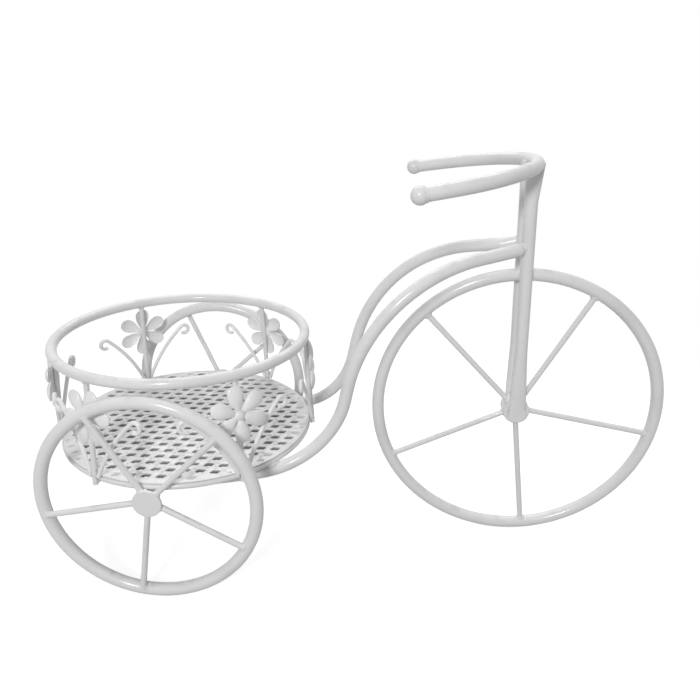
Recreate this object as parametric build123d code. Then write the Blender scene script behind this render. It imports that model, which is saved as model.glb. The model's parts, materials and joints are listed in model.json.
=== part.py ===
from build123d import *
import math
import os

# Bicycle planter in white painted steel: a tricycle with a big front wheel and a round flower basket.
# X points forward, Y to the rider's left, Z up from the ground. Lengths are in millimetres.
# The pieces are drawn with the rear axle at X zero and moved at the end, so that the origin is mid-length.

# Wheels
front_wheel_diameter = 292
rear_wheel_diameter = 208
rim_tube = 12
wheelbase = 340
rear_track = 264
spoke_rod = 5.5
spoke_cope_gap = 0.03
spoke_count = 5
front_first_spoke_degrees = -82
rear_right_first_spoke_degrees = -98
rear_left_first_spoke_degrees = -102

# Front hub, its axle pin and the running fits of all three wheels
front_hub_diameter = 26
front_pin_diameter = 8
running_clearance = 0.05
pin_seat_clearance = 0.02
hub_end_gap = 0.5

# Fork: two round legs, flat and wide at both ends, that pass beside the front rim
fork_tube = 12
rim_side_gap = 1.3
fork_rake_degrees = 2.35
blade_width = 16
blade_thickness = 6
eye_diameter = 17.2
eye_thickness = 6.5
blade_above_hub = 3
blade_taper = 50
fork_head_width = 17
fork_head_thickness = 9
fork_head_taper = 34
fork_head_ahead = 2

# Handlebar: a round bend with short splayed arms, drooping towards the balls on its ends
handlebar_tube = 12
handlebar_height = 389
handlebar_bend_radius = 100
handlebar_splay_degrees = 12
handlebar_arm = 27
handlebar_ahead = 4
handlebar_droop_degrees = 9.1
ball_rise = 1.6

# Frame tubes: each runs from the fork over the shoulder bend, down to the heel bend and back to the axle
frame_tube = 12
frame_front_drop = 76
frame_end_behind = 9.6
frame_end_outside = 6.2
frame_ear_thickness = 5
frame_ear_width = 15
frame_ear_length = 20
shoulder_ahead = 192
shoulder_spread = 66
shoulder_drop = 23
shoulder_front_share = 0.85
shoulder_back_share = 0.542
heel_ahead = 156
heel_spread = 53
heel_height = 102
heel_front_share = 0.392
heel_back_share = 0.6
tail_spread = 113
tail_above_axle = 5

# Rear axle, wheel sleeves, hub discs and the clips that hold the wheels on
rear_axle_diameter = 12
journal_diameter = 8
sleeve_diameter = 14
sleeve_inboard = 11
sleeve_end_gap = 0.5
hub_disc_diameter = 27
hub_disc_thickness = 2.5
hub_disc_outboard = 5
hub_disc_rounding = 0.9
rear_spoke_outboard = 4.5
rear_spoke_short = 2
axle_end_gap = 0.3
clip_land = 1.8
clip_thickness = 1
clip_diameter = 11
clip_mouth_width = 5
clip_play = 0.05
clip_side_gap = 0.4
clip_face_gap = 0.3
groove_depth = 0.7

# Basket
top_ring_rod = 10
top_ring_diameter = 257
top_ring_height = 215
base_ring_rod = 6
base_ring_diameter = 256
ring_seat_gap = 0.1
crossing_share = 1e-9
upright_rod = 5
upright_below_ring = 1.5
weld_bite = 0.3
upright_degrees = (8, 61.5, 130, 196.5, 246, 308)

# Basket floor: one sheet with slanted gaps
floor_thickness = 1.6
floor_edge_gap = 0.4
floor_border = 5
gap_length = 8
gap_width = 5.6
gap_slant = 3
gap_pitch_along = 14
gap_pitch_across = 11.4
row_shift_share = 0.35

# Flowers on the uprights
flower_drop = 37
flower_twist_degrees = (0, -10, 3, 0, -22, 6)
petal_count = 6
first_petal_degrees = 90
petal_length = 18
petal_width = 13
petal_sheet = 1.2
petal_rise = 4.2
petal_dome_radius = 16
petal_centre_radius = 19
petal_neck_width = 5
flower_disc_diameter = 13
flower_disc_thickness = 1.6
flower_button_diameter = 9
flower_button_rise = 3

# Tendrils: a pair of bent wires at the foot of each upright
tendril_wire = 4
tendril_start_above_ring = 4
tendril_start_degrees = 68
tendril_bend_share = 1.558559
tendril_bend_degrees = 24
hook_radius = 5
hook_degrees = 255

# Values worked out from the sizes above
front_axle_height = front_wheel_diameter / 2
front_rim_radius = (front_wheel_diameter - rim_tube) / 2
rear_axle_height = rear_wheel_diameter / 2
rear_rim_radius = (rear_wheel_diameter - rim_tube) / 2
rear_plane = rear_track / 2
leg_spread = rim_tube / 2 + rim_side_gap + fork_tube / 2
eye_inner = leg_spread - eye_thickness / 2
eye_outer = leg_spread + eye_thickness / 2
front_hub_length = 2 * (eye_inner - hub_end_gap)
rake = math.radians(fork_rake_degrees)
droop = math.radians(handlebar_droop_degrees)
disc_outer = rear_plane + hub_disc_outboard
disc_inner = disc_outer - hub_disc_thickness
spoke_root_plane = disc_inner - spoke_rod / 2
spoke_tip_plane = rear_plane + rear_spoke_outboard
sleeve_inner = rear_plane - sleeve_inboard
journal_start = sleeve_inner - sleeve_end_gap
axle_end = disc_inner - axle_end_gap
clip_outer = axle_end - clip_land
clip_inner = clip_outer - clip_thickness
sleeve_shoulder = clip_inner - clip_face_gap
groove_diameter = journal_diameter - 2 * groove_depth
frame_front_height = handlebar_height - frame_front_drop
flower_height = top_ring_height - flower_drop
tendril_bend_radius = tendril_bend_share * (top_ring_height - rear_axle_height)
base_ring_radius = (base_ring_diameter - base_ring_rod) / 2
top_ring_radius = (top_ring_diameter - top_ring_rod) / 2
first_spoke_degrees = {
    "front": front_first_spoke_degrees,
    "rear_right": rear_right_first_spoke_degrees,
    "rear_left": rear_left_first_spoke_degrees}
sides = {"right": -1, "left": 1}
nodes = {}


def bar(start, end, diameter):
    """Return a straight round bar from one point to another."""
    run = Vector(*end) - Vector(*start)
    return extrude(Plane(origin=start, z_dir=run) * Circle(diameter / 2), run.length)


def along_axle(centre, near, far, diameter):
    """Return a round bar along Y through a wheel centre, between two distances from the middle plane."""
    return bar((centre[0], near, centre[2]), (centre[0], far, centre[2]), diameter)


def wheel_point(centre, sideways, radius, degrees):
    """Return the point at a radius and an angle in a wheel's plane."""
    angle = math.radians(degrees)
    return (centre[0] + radius * math.cos(angle), sideways, centre[2] + radius * math.sin(angle))


def spoke_degrees(wheel, index):
    """Return the angle of one spoke in its wheel's plane, as the wheel stands at rest."""
    return first_spoke_degrees[wheel] + index * 360 / spoke_count


# Front wheel: the spokes butt against the hub and the inside of the rim
def front_wheel():
    centre = (wheelbase, 0, front_axle_height)
    rim = Pos(*centre) * Rot(90, 0, 0) * Torus(front_rim_radius, rim_tube / 2)
    half = front_hub_length / 2
    hub_blank = along_axle(centre, -half, half, front_hub_diameter)
    bore = along_axle(centre, -half, half, front_pin_diameter + 2 * running_clearance)
    nodes["front_rim"] = rim
    nodes["front_hub"] = hub_blank - bore
    for index in range(spoke_count):
        tip = wheel_point(centre, 0, front_rim_radius, spoke_degrees("front", index))
        nodes[f"front_spoke_{index + 1}"] = bar(centre, tip, spoke_rod) - hub_blank - rim


# Rear wheels: the spokes run out from behind the hub disc to the outer side of the rim, and overlap it a little
def rear_wheel(name, side):
    centre = (0, side * rear_plane, rear_axle_height)
    rim = Pos(*centre) * Rot(90, 0, 0) * Torus(rear_rim_radius, rim_tube / 2)
    sleeve_blank = along_axle(centre, side * sleeve_inner, side * disc_inner, sleeve_diameter)
    bore = along_axle(centre, side * sleeve_inner, side * disc_inner, journal_diameter + 2 * running_clearance)
    clip_room = along_axle(centre, side * sleeve_shoulder, side * disc_inner, clip_diameter + 2 * clip_side_gap)
    disc = along_axle(centre, side * disc_inner, side * disc_outer, hub_disc_diameter)
    disc_edge = disc.edges().sort_by(Axis.Y)[-1 if side > 0 else 0]
    nodes[f"{name}_rim"] = rim
    nodes[f"{name}_hub_sleeve"] = sleeve_blank - bore - clip_room
    nodes[f"{name}_hub_disc"] = fillet(disc_edge, hub_disc_rounding)
    for index in range(spoke_count):
        root = (centre[0], side * spoke_root_plane, centre[2])
        degrees = spoke_degrees(name, index)
        tip = wheel_point(centre, side * spoke_tip_plane, rear_rim_radius - rear_spoke_short, degrees)
        crossing = Vector(*wheel_point(centre, side * rear_plane, rear_rim_radius, degrees))
        along_rim = Vector(-math.sin(math.radians(degrees)), 0, math.cos(math.radians(degrees))) * rim_tube
        cope = bar(tuple(crossing - along_rim), tuple(crossing + along_rim), rim_tube + 2 * spoke_cope_gap)
        nodes[f"{name}_spoke_{index + 1}"] = bar(root, tip, spoke_rod) - sleeve_blank - disc - cope


# Rear axle, with a thinner journal and a groove at each end, and the open clips that sit in the grooves
def rear_axle():
    centre = (0, 0, rear_axle_height)
    axle = along_axle(centre, -journal_start, journal_start, rear_axle_diameter)
    axle += along_axle(centre, -axle_end, axle_end, journal_diameter)
    for name, side in sides.items():
        start = side * (clip_inner - clip_play)
        end = side * (clip_outer + clip_play)
        blank = along_axle(centre, start, end, journal_diameter)
        axle -= blank - along_axle(centre, start, end, groove_diameter)
        ring = along_axle(centre, side * clip_inner, side * clip_outer, clip_diameter)
        ring -= along_axle(centre, side * clip_inner, side * clip_outer, groove_diameter + 2 * pin_seat_clearance)
        mouth_height = rear_axle_height - clip_diameter / 2
        mouth = Pos(0, side * (clip_inner + clip_outer) / 2, mouth_height) * Box(
            clip_mouth_width, clip_diameter, clip_diameter)
        nodes[f"axle_clip_{name}"] = ring - mouth
    nodes["rear_axle"] = axle
    return axle


# Handlebar: the arms end in balls, each cut flat where the tube meets it
def handlebar():
    nose_x = leg_x(handlebar_height) + handlebar_ahead
    plane = Plane(
        origin=(nose_x, 0, handlebar_height),
        x_dir=(-math.cos(droop), 0, -math.sin(droop)),
        z_dir=(-math.sin(droop), 0, math.cos(droop)))
    splay = math.radians(handlebar_splay_degrees)
    ball_radius = handlebar_tube / 2 + ball_rise
    ball_seat = math.sqrt(ball_radius ** 2 - (handlebar_tube / 2) ** 2)
    bend_back = handlebar_bend_radius * (1 - math.sin(splay))
    bend_out = handlebar_bend_radius * math.cos(splay)

    def arm_point(side, distance):
        out = bend_out + distance * math.sin(splay)
        return (bend_back + distance * math.cos(splay), -side * out)

    right_end = arm_point(sides["right"], handlebar_arm - ball_seat)
    left_end = arm_point(sides["left"], handlebar_arm - ball_seat)
    path = Line(right_end, arm_point(sides["right"], 0))
    path += ThreePointArc(arm_point(sides["right"], 0), (0, 0), arm_point(sides["left"], 0))
    path += Line(arm_point(sides["left"], 0), left_end)
    tube = sweep(Plane(origin=path @ 0, z_dir=path % 0) * Circle(handlebar_tube / 2), path=path)
    nodes["handlebar"] = plane.location * tube
    for name, side in sides.items():
        inner = (*arm_point(side, handlebar_arm - ball_radius), 0)
        seat = (*arm_point(side, handlebar_arm - ball_seat), 0)
        ball = Pos(*arm_point(side, handlebar_arm), 0) * Sphere(ball_radius)
        nodes[f"grip_ball_{name}"] = plane.location * (ball - bar(inner, seat, 2 * ball_radius))
    return nodes["handlebar"]


def leg_x(height):
    """Return how far forward a fork leg's centre line is at a height."""
    return wheelbase - (height - front_axle_height) * math.tan(rake)


# Fork leg: an eye on the axle pin, a flat blade, a round leg, and a flat wide head under the handlebar
def fork_leg(side, bar_tube):
    foot = (wheelbase, side * leg_spread, front_axle_height)
    leg = Plane(origin=foot, x_dir=(math.cos(rake), 0, math.sin(rake)), z_dir=(-math.sin(rake), 0, math.cos(rake)))
    blade_top = front_hub_diameter / 2 + blade_above_hub
    round_start = blade_top + blade_taper
    length = (handlebar_height - front_axle_height) / math.cos(rake)
    round_end = length - fork_head_taper
    blade_outline = Ellipse(blade_width / 2, blade_thickness / 2)
    head_outline = Pos(fork_head_ahead, 0) * Ellipse(fork_head_width / 2, fork_head_thickness / 2)
    round_outline = Circle(fork_tube / 2)
    outlines = [
        leg * blade_outline,
        leg.offset(blade_top) * blade_outline,
        leg.offset(round_start) * round_outline,
        leg.offset(round_end) * round_outline,
        leg.offset(length) * head_outline]
    shaft = loft(outlines, ruled=True)
    eye = along_axle(foot, side * eye_inner, side * eye_outer, eye_diameter)
    bore = along_axle(foot, side * eye_inner, side * eye_outer, front_pin_diameter + 2 * pin_seat_clearance)
    return shaft + eye - bore - bar_tube


def bend_radius(before, corner, after, before_share, after_share):
    """Return the radius of a bend that takes up no more than a share of the run on each side of it."""
    back = Vector(*before) - Vector(*corner)
    ahead = Vector(*after) - Vector(*corner)
    reach = min(back.length * before_share, ahead.length * after_share)
    return reach * math.tan(math.radians(back.get_angle(ahead)) / 2)


def frame_path(side, behind, outside):
    """Return the centre line of one frame tube, from a place beside its fork leg's centre line to the rear axle."""
    front = (leg_x(frame_front_height) - behind, side * (leg_spread + outside), frame_front_height)
    shoulder = (shoulder_ahead, side * shoulder_spread, frame_front_height - shoulder_drop)
    heel = (heel_ahead, side * heel_spread, heel_height)
    tail = (0, side * tail_spread, rear_axle_height + tail_above_axle)
    shoulder_radius = bend_radius(front, shoulder, heel, shoulder_front_share, shoulder_back_share)
    heel_radius = bend_radius(shoulder, heel, tail, heel_front_share, heel_back_share)
    return FilletPolyline(front, shoulder, heel, tail, radius=[shoulder_radius, heel_radius])


# Frame tubes: the right one ends round against the back of its fork leg, the left one in a flat ear
def frame_tube_right(leg, axle):
    path = frame_path(sides["right"], frame_end_behind, frame_end_outside)
    start = path @ 0
    tube = sweep(Plane(origin=start, z_dir=path % 0) * Circle(frame_tube / 2), path=path)
    tube += Pos(start) * Sphere(frame_tube / 2)
    return tube - leg - axle


def frame_tube_left(leg, axle):
    path = frame_path(sides["left"], 0, 0)
    ear_share = frame_ear_length / path.length
    round_part = path.trim(ear_share, 1)
    section = Plane(origin=round_part @ 0, z_dir=round_part % 0)
    tube = sweep(section * Circle(frame_tube / 2), path=round_part)
    along = path % 0
    across = Vector(0, 0, 1).cross(along)
    upright_plane = Plane(origin=round_part @ 0, x_dir=across, z_dir=along)
    ear_plane = Plane(origin=path @ 0, x_dir=across, z_dir=along)
    ear_end = ear_plane * Ellipse(frame_ear_thickness / 2, frame_ear_width / 2)
    ear = loft([upright_plane * Circle(frame_tube / 2), ear_end])
    return tube + ear - leg - axle


def base_ring_height():
    """Return the height at which the base ring lies on the two frame tubes."""
    path = frame_path(sides["left"], 0, 0)
    low, high = 0, 1
    while high - low > crossing_share:
        middle = (low + high) / 2
        point = path @ middle
        if math.hypot(point.X, point.Y) > base_ring_radius:
            low = middle
        else:
            high = middle
    point = path @ high
    ring_run = Vector(-point.Y, point.X, 0)
    normal = (path % high).cross(ring_run).normalized()
    return point.Z + (frame_tube / 2 + base_ring_rod / 2 + ring_seat_gap) / abs(normal.Z)


# Basket floor: rows of slanted gaps inside a plain border, each row set along by a share of the pitch
def basket_floor(height, radius):
    limit = radius - floor_border
    gaps = []
    rows = math.floor(limit / gap_pitch_across)
    columns = math.ceil(limit / gap_pitch_along)
    corner_x = gap_length / 2
    corner_y = gap_width / 2
    for row in range(-rows, rows + 1):
        for column in range(-columns, columns + 1):
            x = (column + row_shift_share * row % 1) * gap_pitch_along
            y = row * gap_pitch_across
            corners = [
                (x - corner_x - gap_slant / 2, y - corner_y),
                (x + corner_x - gap_slant / 2, y - corner_y),
                (x + corner_x + gap_slant / 2, y + corner_y),
                (x - corner_x + gap_slant / 2, y + corner_y)]
            if max(math.hypot(*corner) for corner in corners) < limit:
                gaps.append(Wire.make_polygon([(px, py, 0) for px, py in corners]))
    outline = Wire.make_circle(radius)
    print("floor gaps", len(gaps))
    return Pos(0, 0, height) * extrude(Face(outline, gaps), floor_thickness)


# Flower: six domed petals round a disc with a button, pressed from sheet, drawn lying on its back
def flower():
    disc = extrude(Circle(flower_disc_diameter / 2), flower_disc_thickness)
    button_radius = flower_button_diameter / 2
    dome_radius = (button_radius ** 2 + flower_button_rise ** 2) / (2 * flower_button_rise)
    dome = Pos(0, 0, flower_disc_thickness + flower_button_rise - dome_radius) * Sphere(dome_radius)
    button = extrude(Plane.XY.offset(flower_disc_thickness) * Circle(button_radius), flower_button_rise) & dome
    blossom = disc + button
    dome_centre = Pos(0, petal_centre_radius, petal_rise - petal_dome_radius)
    shell = Sphere(petal_dome_radius) - Sphere(petal_dome_radius - petal_sheet)
    outline = Pos(0, petal_centre_radius) * Ellipse(petal_width / 2, petal_length / 2)
    petal = extrude(outline, petal_rise) & (dome_centre * shell)
    neck_length = petal_centre_radius - petal_length / 4
    neck = Pos(0, neck_length / 2, petal_sheet / 2) * Box(petal_neck_width, neck_length, petal_sheet)
    neck -= dome_centre * Sphere(petal_dome_radius - petal_sheet)
    for index in range(petal_count):
        blossom += Rot(0, 0, first_petal_degrees + index * 360 / petal_count - 90) * (petal + neck)
    return blossom


def tendril():
    """Return one tendril in its own plane, starting at the origin and leaning towards +X."""
    angle = math.radians(tendril_start_degrees)
    stem = JernArc((0, 0), (math.cos(angle), math.sin(angle)), tendril_bend_radius, -tendril_bend_degrees)
    hook = JernArc(stem @ 1, stem % 1, hook_radius, -hook_degrees)
    path = stem + hook
    return sweep(Plane(origin=path @ 0, z_dir=path % 0) * Circle(tendril_wire / 2), path=path)


# Basket: two rings joined by six uprights, each with a flower outside and a pair of tendrils at its foot
def basket():
    ring_height = base_ring_height()
    floor_height = ring_height + base_ring_rod / 2
    base_ring = Pos(0, 0, ring_height) * Torus(base_ring_radius, base_ring_rod / 2)
    top_ring = Pos(0, 0, top_ring_height) * Torus(top_ring_radius, top_ring_rod / 2)
    nodes["basket_base_ring"] = base_ring
    nodes["basket_top_ring"] = top_ring
    foot_radius = base_ring_radius + base_ring_rod / 2 + upright_rod / 2 - weld_bite
    foot_height = ring_height - base_ring_rod / 2 - upright_below_ring
    slope = (foot_radius - top_ring_radius) / (top_ring_height - foot_height)
    inside = foot_radius - slope * (floor_height + floor_thickness - foot_height) - upright_rod / 2
    nodes["basket_floor"] = basket_floor(floor_height, inside - floor_edge_gap)
    blossom = flower()
    wire = tendril()
    for index, degrees in enumerate(upright_degrees):
        angle = math.radians(degrees)
        out = Vector(math.cos(angle), math.sin(angle), 0)
        foot = out * foot_radius + Vector(0, 0, foot_height)
        head = out * top_ring_radius + Vector(0, 0, top_ring_height)
        rise = (head - foot).normalized()
        tangent = Vector(0, 0, 1).cross(out)
        normal = tangent.cross(rise)
        nodes[f"upright_{index + 1}"] = bar(tuple(foot), tuple(head), upright_rod) - base_ring - top_ring
        centre = foot + rise * ((flower_height - foot_height) / rise.Z) + normal * (upright_rod / 2)
        seat = Plane(origin=centre, x_dir=tangent, z_dir=normal).location
        nodes[f"flower_{index + 1}"] = seat * Rot(0, 0, flower_twist_degrees[index]) * blossom
        start = foot + rise * ((ring_height + tendril_start_above_ring - foot_height) / rise.Z)
        pair = []
        for hand in (-1, 1):
            offset = hand * (upright_rod + tendril_wire) / 2
            lean = math.asin(tendril_reach() / (2 * foot_radius)) * hand
            run = tangent * (hand * math.cos(lean)) - out * abs(math.sin(lean))
            plane = Plane(origin=start + tangent * offset, x_dir=run, z_dir=run.cross(rise))
            pair.append(plane.location * wire)
        nodes[f"tendril_pair_{index + 1}"] = Compound(children=[piece.solid() for piece in pair])
    return floor_height + floor_thickness


def tendril_reach():
    """Return how far a tendril's hook lies from its start, along its plane."""
    first = math.radians(tendril_start_degrees)
    last = math.radians(tendril_start_degrees - tendril_bend_degrees)
    return tendril_bend_radius * (math.sin(first) - math.sin(last))


def front_pin():
    """Return the axle pin, flush with the outside of both fork eyes."""
    centre = (wheelbase, 0, front_axle_height)
    return along_axle(centre, -eye_outer, eye_outer, front_pin_diameter)


front_wheel()
nodes["front_axle_pin"] = front_pin()
for side_name, side_sign in sides.items():
    rear_wheel(f"rear_{side_name}", side_sign)
axle_bar = rear_axle()
bar_tube = handlebar()
for side_name, side_sign in sides.items():
    nodes[f"fork_leg_{side_name}"] = fork_leg(side_sign, bar_tube)
nodes["frame_tube_right"] = frame_tube_right(nodes["fork_leg_right"], axle_bar)
nodes["frame_tube_left"] = frame_tube_left(nodes["fork_leg_left"], axle_bar)
floor_top = basket()

# The origin goes to the middle of the length, on the ground
rearmost = min(node.bounding_box().min.X for node in nodes.values())
foremost = max(node.bounding_box().max.X for node in nodes.values())
shift = -(rearmost + foremost) / 2

os.makedirs("parts", exist_ok=True)
for node_name, node in nodes.items():
    export_step(Pos(shift, 0, 0) * node, f"parts/{node_name}.step")
print("rear axle at X", shift, "front axle at X", shift + wheelbase, "floor top at Z", floor_top)
print("nodes", len(nodes))
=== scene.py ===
"""White enamelled tricycle planter: finishes, welds, flowers, woven floor, studio and camera.

Lengths are in metres. X points forward, Y to the rider's left and Z up from the ground.
"""

from __future__ import annotations

import json
import logging
import math
from collections.abc import Sequence
from dataclasses import dataclass
from enum import Enum

import bmesh
import bpy
from mathutils import Matrix, Vector, noise
from mathutils.bvhtree import BVHTree
from mathutils.geometry import delaunay_2d_cdt

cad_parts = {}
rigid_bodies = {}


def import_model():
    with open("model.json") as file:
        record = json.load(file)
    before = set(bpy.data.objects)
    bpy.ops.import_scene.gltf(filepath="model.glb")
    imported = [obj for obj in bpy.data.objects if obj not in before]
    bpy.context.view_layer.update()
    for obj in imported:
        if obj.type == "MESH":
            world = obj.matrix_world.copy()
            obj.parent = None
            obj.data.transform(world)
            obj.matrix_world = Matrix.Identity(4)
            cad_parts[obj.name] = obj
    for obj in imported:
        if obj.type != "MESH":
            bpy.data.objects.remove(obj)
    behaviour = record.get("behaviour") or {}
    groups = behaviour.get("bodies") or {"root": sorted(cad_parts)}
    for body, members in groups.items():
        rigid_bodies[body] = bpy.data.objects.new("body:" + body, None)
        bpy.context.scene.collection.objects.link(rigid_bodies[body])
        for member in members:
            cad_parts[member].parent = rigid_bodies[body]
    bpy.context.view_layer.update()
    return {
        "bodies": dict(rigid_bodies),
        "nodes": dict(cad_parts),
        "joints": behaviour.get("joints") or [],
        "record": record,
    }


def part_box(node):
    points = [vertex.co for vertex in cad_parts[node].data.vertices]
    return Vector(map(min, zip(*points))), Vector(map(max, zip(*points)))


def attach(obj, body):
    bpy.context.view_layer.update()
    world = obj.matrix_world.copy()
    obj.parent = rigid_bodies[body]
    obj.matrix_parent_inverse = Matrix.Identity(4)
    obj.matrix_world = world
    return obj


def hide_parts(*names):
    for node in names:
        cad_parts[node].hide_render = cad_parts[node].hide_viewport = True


Span = tuple[float, float]
Triple = tuple[float, float, float]
Colour = tuple[float, float, float, float]

log = logging.getLogger("planter")
MM = 0.001
REAR_AXLE_X = -0.17647286
FRONT_AXLE_X = 0.16352714
FRONT_AXLE_HEIGHT = 0.146
REAR_AXLE_HEIGHT = 0.104
REAR_WHEEL_ASIDE = 0.132
FORWARD = Vector((1, 0, 0))
LEFT = Vector((0, 1, 0))
UP = Vector((0, 0, 1))


class Slot(Enum):
    """The record's material slots."""

    FRAME = "frame_enamel"
    WHEEL = "wheel_enamel"
    BASKET = "basket_enamel"
    ORNAMENT = "ornament_enamel"
    CLIP = "clip_steel"


class Body(Enum):
    """The bodies that pieces ride on."""

    ROOT = "planter_frame"
    FRONT = "front_wheel"
    REAR_RIGHT = "rear_right_wheel"
    REAR_LEFT = "rear_left_wheel"


# Shader maths


class Signal:
    """An output socket that takes part in sums like a number."""

    def __init__(self, graph: Graph, socket: bpy.types.NodeSocket) -> None:
        """Keep a socket with the tree that it belongs to."""
        self.graph = graph
        self.socket = socket

    def math(self, operation: str, other: Signal | float) -> Signal:
        """Return a Math node's result, with this signal as its first value."""
        return self.graph.node("Math", {0: self, 1: other}, operation=operation)

    def ramp(self, low: float, high: float) -> Signal:
        """Return a smooth step from 0 at the low value to 1 at the high one."""
        inputs = {0: self, 1: low, 2: high, 3: 0.0, 4: 1.0}
        return self.graph.node("MapRange", inputs, interpolation_type="SMOOTHSTEP")

    def __add__(self, other: Signal | float) -> Signal:
        """Return the sum."""
        return self.math("ADD", other)

    def __sub__(self, other: Signal | float) -> Signal:
        """Return the difference."""
        return self.math("SUBTRACT", other)

    def __rsub__(self, other: float) -> Signal:
        """Return a number less this signal."""
        return self.graph.node("Math", {0: other, 1: self}, operation="SUBTRACT")

    def __mul__(self, other: Signal | float) -> Signal:
        """Return the product."""
        return self.math("MULTIPLY", other)

    def __pow__(self, other: float) -> Signal:
        """Return the signal raised to a power."""
        return self.math("POWER", other)

    __radd__ = __add__
    __rmul__ = __mul__


class Graph:
    """An emptied node tree, with one method that adds its nodes."""

    def __init__(self, tree: bpy.types.NodeTree) -> None:
        """Empty the tree."""
        tree.nodes.clear()
        self.tree = tree

    def node(
        self,
        kind: str,
        inputs: dict[str | int, object] | None = None,
        output: str | int = 0,
        **settings: object,
    ) -> Signal:
        """Add a node and return one of its outputs.

        Args:
            kind: The node's type name, after the words ShaderNode.
            inputs: Values or links of its sockets, by name or place.
            output: The output to return, by name or place.
            settings: Values of the node's own properties.

        Returns:
            The chosen output, or the node's first input where it has no output.
        """
        made = self.tree.nodes.new(f"ShaderNode{kind}")
        for name, value in settings.items():
            setattr(made, name, value)
        for key, value in (inputs or {}).items():
            if isinstance(value, Signal):
                self.tree.links.new(value.socket, made.inputs[key])
            else:
                made.inputs[key].default_value = value
        return Signal(self, made.outputs[output] if made.outputs else made.inputs[0])

    def place(self, stretch: Triple = (1.0, 1.0, 1.0)) -> Signal:
        """Return the object's own coordinates, stretched along its axes."""
        place = self.node("TexCoord", output="Object")
        return self.node("VectorMath", {0: place, 1: stretch}, operation="MULTIPLY")

    def height_of(self, vector: Signal) -> Signal:
        """Return a vector's part along Z."""
        return self.node("SeparateXYZ", {0: vector}, "Z")

    def tint(self, factor: Signal, start: Signal | Colour, end: Colour) -> Signal:
        """Return a colour mixed from two by a factor."""
        return self.node("Mix", {0: factor, 6: start, 7: end}, 2, data_type="RGBA", clamp_factor=True)

    def seen(self) -> Signal:
        """Return 1 for rays that see the studio, and 0 for those that only carry its light.

        Returns:
            The mask.
        """
        names = ("Is Camera Ray", "Is Glossy Ray", "Is Transmission Ray")
        camera, glossy, through = (self.node("LightPath", output=name) for name in names)
        return (camera + glossy + through).math("MINIMUM", 1.0)


@dataclass(frozen=True)
class Mottle:
    """Noise over a surface, and a mask that rises between two of its values up to a share.

    The size is a number of features to a metre, and the detail a number of finer layers.
    """

    size: float
    detail: float
    low: float = 0.0
    high: float = 1.0
    share: float = 1.0
    stretch: Triple = (1.0, 1.0, 1.0)
    roughness: float = 0.55

    def on(self, graph: Graph) -> Signal:
        """Return the noise, from 0 to 1."""
        fineness = {"Scale": self.size, "Detail": self.detail, "Roughness": self.roughness}
        return graph.node("TexNoise", {"Vector": graph.place(self.stretch), **fineness})

    def mask(self, graph: Graph) -> Signal:
        """Return the mask, from 0 to its share."""
        return self.on(graph).ramp(self.low, self.high) * self.share


# Finishes


def grey(level: float, warmth: float = 0.0) -> Colour:
    """Return an opaque near-grey colour, warmer where warmth is above zero."""
    return (level * (1 + warmth), level, level * (1 - warmth), 1.0)


def new_material(name: str) -> tuple[bpy.types.Material, Graph]:
    """Make a material with an emptied tree.

    Args:
        name: The material's name.

    Returns:
        The material and its tree.
    """
    made = bpy.data.materials.new(name)
    made.use_nodes = True
    return made, Graph(made.node_tree)


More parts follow.
